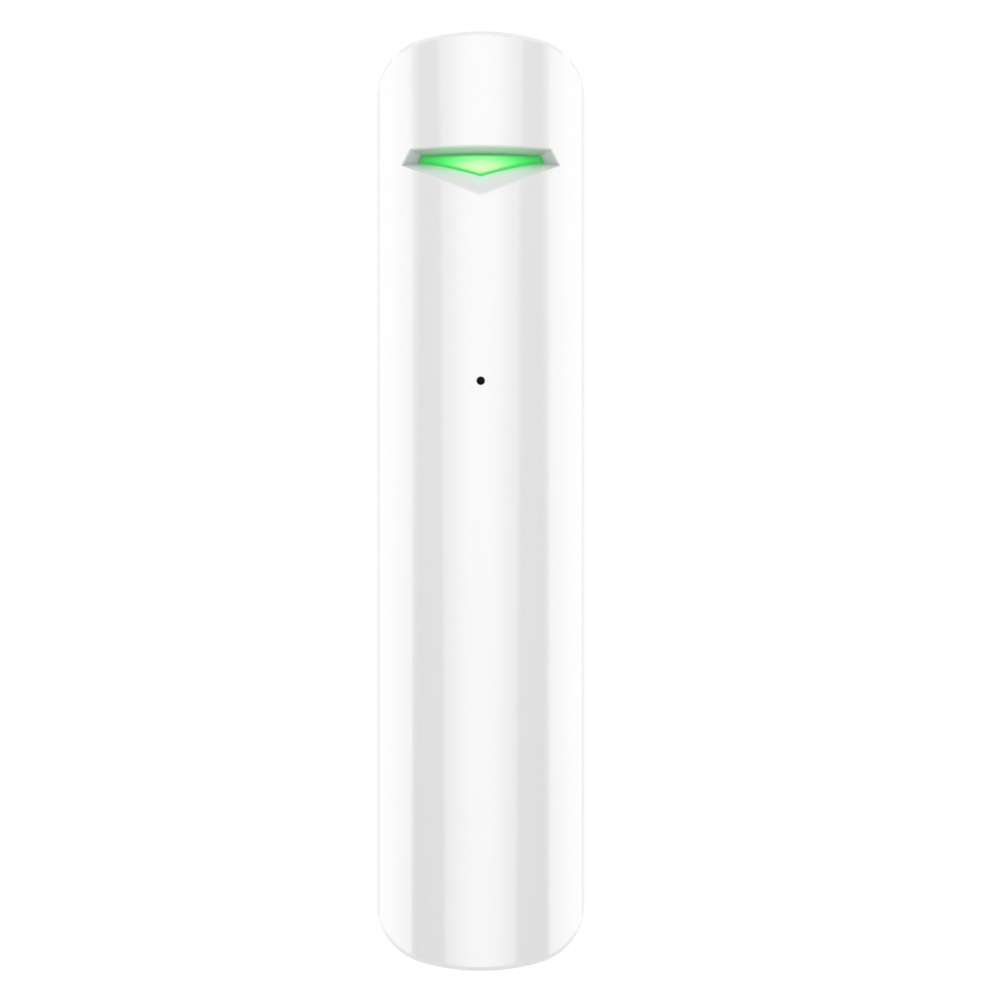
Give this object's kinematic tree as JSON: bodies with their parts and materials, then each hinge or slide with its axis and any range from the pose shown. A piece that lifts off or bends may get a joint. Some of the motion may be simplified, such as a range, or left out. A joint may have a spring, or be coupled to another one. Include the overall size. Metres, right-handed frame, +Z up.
{
  "type": "glass break sensor",
  "caption": "Slim white wireless glass break sensor with a lit V-shaped recess and a sound hole, hung on a flat wall bracket by hooks.",
  "frame": {"origin": "centre of the bracket's face that lies on the wall", "axes": "+Z up along the rod, the front faces -Y, the wall is the plane y = 0, +X to the right as seen from the front"},
  "size_m": [0.02, 0.0216, 0.09],
  "materials": {
    "bracket_plastic": "fine satin moulding texture, white",
    "case_plastic": "polished white moulding",
    "screw_steel": "zinc plated",
    "board_laminate": "green solder mask",
    "cell_wrap": "printed film wrap, no words",
    "contact_nickel": "nickel plated spring steel",
    "lead_insulation": "black insulation",
    "guide_clear": "milky clear, lit green from behind",
    "led_resin": "clear resin over a pale base",
    "capsule_aluminium": "drawn can",
    "boot_rubber": "soft black",
    "mesh_cloth": "fine black mesh",
    "shield_tin": "tinned sheet",
    "chip_resin": "black moulding compound",
    "crystal_can": "seam-welded can",
    "passive_ceramic": "tan ceramic",
    "capacitor_can": "drawn can on a black foot",
    "antenna_brass": "bright wire",
    "switch_black": "black switch housing",
    "stem_plastic": "dark grey stem",
    "button_plastic": "grey moulding",
    "spring_steel": "bright spring wire",
    "terminal_plastic": "green terminal housing",
    "clamp_brass": "tinned brass sleeve"
  },
  "bodies": {
    "bracket": {"mounting_bracket": "bracket_plastic"},
    "detector": {"front_cover": "case_plastic", "rear_cover": "case_plastic", "case_screw_upper": "screw_steel", "case_screw_lower": "screw_steel", "circuit_board": "board_laminate", "battery_cell": "cell_wrap", "positive_contact": "contact_nickel", "negative_contact": "contact_nickel", "negative_lead": "lead_insulation", "light_guide": "guide_clear", "status_led": "led_resin", "microphone_capsule": "capsule_aluminium", "microphone_boot": "boot_rubber", "dust_mesh": "mesh_cloth", "radio_shield": "shield_tin", "microcontroller": "chip_resin", "crystal": "crystal_can", "chip_passives": "passive_ceramic", "capacitor": "capacitor_can", "antenna_coil": "antenna_brass", "power_switch_body": "switch_black", "tamper_switch_body": "switch_black", "tamper_spring": "spring_steel", "terminal_block": "terminal_plastic", "terminal_clamps": "clamp_brass"},
    "power_button": {"power_button_cap": "button_plastic", "power_switch_stem": "stem_plastic"},
    "tamper": {"tamper_plunger": "button_plastic", "tamper_switch_stem": "stem_plastic"}
  },
  "joints": [
    {"name": "detector_release", "type": "slide", "parent": "bracket", "child": "detector", "axis": [0, 0, 1], "range_m": [0, 0.004]},
    {"name": "power_button_press", "type": "slide", "parent": "detector", "child": "power_button", "axis": [0, -1, 0], "range_m": [0, 0.0003], "stiffness_N_per_m": 800, "springref_m": -0.0005},
    {"name": "tamper_press", "type": "slide", "parent": "detector", "child": "tamper", "axis": [0, -1, 0], "range_m": [0, 0.0004], "stiffness_N_per_m": 400, "springref_m": -0.001, "deforming": ["tamper_spring"]}
  ]
}
